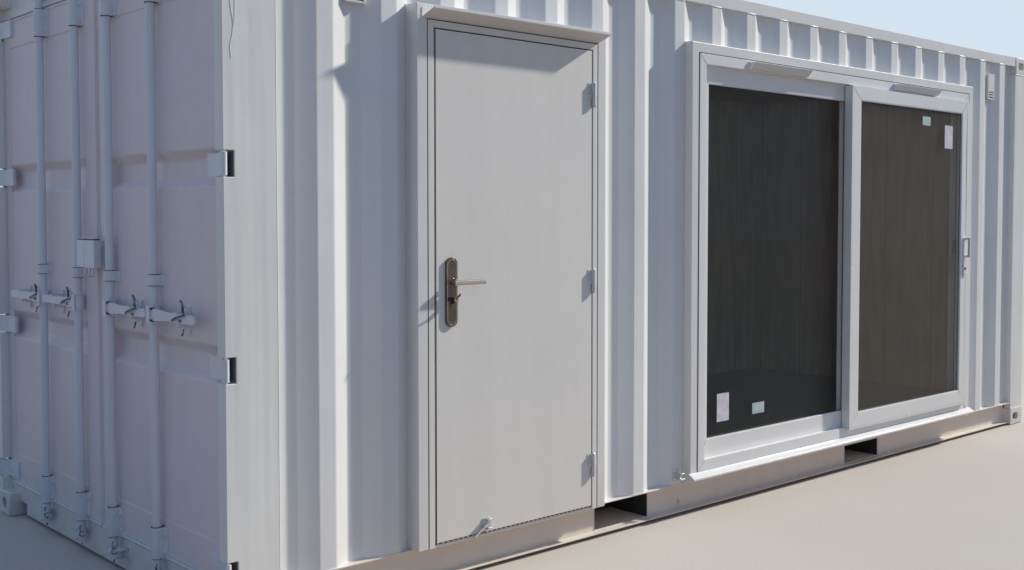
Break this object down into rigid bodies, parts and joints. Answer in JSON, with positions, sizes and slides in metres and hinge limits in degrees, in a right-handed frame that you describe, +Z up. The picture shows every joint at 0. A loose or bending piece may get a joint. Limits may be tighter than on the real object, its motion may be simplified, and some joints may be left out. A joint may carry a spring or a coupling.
{
  "type": "shipping container cabin",
  "caption": "Steel shipping container cabin with cargo doors at one end, a hinged personnel door and a sliding glazed door on one long side.",
  "frame": {"origin": "centre of the overall plan box, the canopy included, at ground level under the bottom corner castings", "axes": "+X along the cabin from the cargo-door end to the blind end, +Y from the side with the personnel and patio doors to the closed side, +Z up"},
  "size_m": [6.072, 2.558, 2.591],
  "materials": {
    "white_paint": "semi-gloss",
    "door_coating": "satin",
    "white_pvc": "gloss",
    "clear_glass": "clear",
    "satin_steel": "satin",
    "zinc": "dull",
    "primed_steel": "matte",
    "plywood": "oiled",
    "lining_board": "matte"
  },
  "bodies": {
    "cabin": {"door_end_foot_castings": "white_paint", "door_end_head_castings": "white_paint", "blind_end_foot_castings": "white_paint", "blind_end_head_castings": "white_paint", "door_end_posts": "white_paint", "blind_end_posts": "white_paint", "bottom_side_rails": "white_paint", "top_side_rails": "white_paint", "door_header": "white_paint", "door_sill": "white_paint", "blind_end_rails": "white_paint", "cross_members": "primed_steel", "fork_pockets": "white_paint", "floor": "plywood", "back_wall_sheet": "white_paint", "front_wall_sheets": "white_paint", "blind_end_sheet": "white_paint", "roof_sheet": "white_paint", "wall_lining": "lining_board", "ceiling_lining": "lining_board", "door_surround": "white_paint", "door_frame": "door_coating", "door_hinge_knuckles": "zinc", "door_canopy": "door_coating", "patio_surround": "white_paint", "patio_frame": "white_pvc", "fixed_sash": "white_pvc", "fixed_glass": "clear_glass", "patio_sill": "white_pvc", "trickle_vents": "white_pvc", "cam_keepers": "white_paint", "cargo_hinge_pins": "zinc", "wall_ventilators": "white_paint", "wall_catch": "zinc"},
    "personnel_door": {"door_leaf": "door_coating", "door_hinge_straps": "zinc", "door_handle_plates": "satin_steel", "hold_open_hook": "zinc"},
    "lever": {"door_lever": "satin_steel"},
    "patio_slider": {"sliding_sash": "white_pvc", "sliding_glass": "clear_glass", "patio_handles": "white_pvc"},
    "right_door": {"right_cargo_door": "white_paint", "right_door_fittings": "white_paint", "right_lock_box": "white_paint"},
    "left_door": {"left_cargo_door": "white_paint", "left_door_fittings": "white_paint", "left_lock_box": "white_paint"},
    "right_outer_lock": {"right_outer_bar": "white_paint"},
    "right_inner_lock": {"right_inner_bar": "white_paint"},
    "left_outer_lock": {"left_outer_bar": "white_paint"},
    "left_inner_lock": {"left_inner_bar": "white_paint"}
  },
  "joints": [
    {"name": "personnel_door_hinge", "type": "hinge", "parent": "cabin", "child": "personnel_door", "pos_m": [-1.3095, -1.208, 1.19], "axis": [0, 0, 1], "range_deg": [0, 170]},
    {"name": "lever_turn", "type": "hinge", "parent": "personnel_door", "child": "lever", "pos_m": [-2.0925, -1.197, 1.213], "axis": [0, 1, 0], "range_deg": [0, 45], "stiffness_Nm_per_rad": 0.9},
    {"name": "patio_slide", "type": "slide", "parent": "cabin", "child": "patio_slider", "axis": [-1, 0, 0], "range_m": [0, 1.15]},
    {"name": "right_cargo_hinge", "type": "hinge", "parent": "cabin", "child": "right_door", "pos_m": [-3.017, -1.147, 1.3], "axis": [0, 0, 1], "range_deg": [0, 250]},
    {"name": "left_cargo_hinge", "type": "hinge", "parent": "cabin", "child": "left_door", "pos_m": [-3.017, 1.267, 1.3], "axis": [0, 0, -1], "range_deg": [0, 250]},
    {"name": "right_outer_bar_turn", "type": "hinge", "parent": "right_door", "child": "right_outer_lock", "pos_m": [-3.007, -0.539, 1.3], "axis": [0, 0, 1], "range_deg": [-95, 0]},
    {"name": "left_outer_bar_turn", "type": "hinge", "parent": "left_door", "child": "left_outer_lock", "pos_m": [-3.007, 0.659, 1.3], "axis": [0, 0, -1], "range_deg": [-95, 0]},
    {"name": "right_inner_bar_turn", "type": "hinge", "parent": "right_door", "child": "right_inner_lock", "pos_m": [-3.007, -0.114, 1.3], "axis": [0, 0, 1], "range_deg": [-95, 0]},
    {"name": "left_inner_bar_turn", "type": "hinge", "parent": "left_door", "child": "left_inner_lock", "pos_m": [-3.007, 0.234, 1.3], "axis": [0, 0, -1], "range_deg": [-95, 0]}
  ]
}
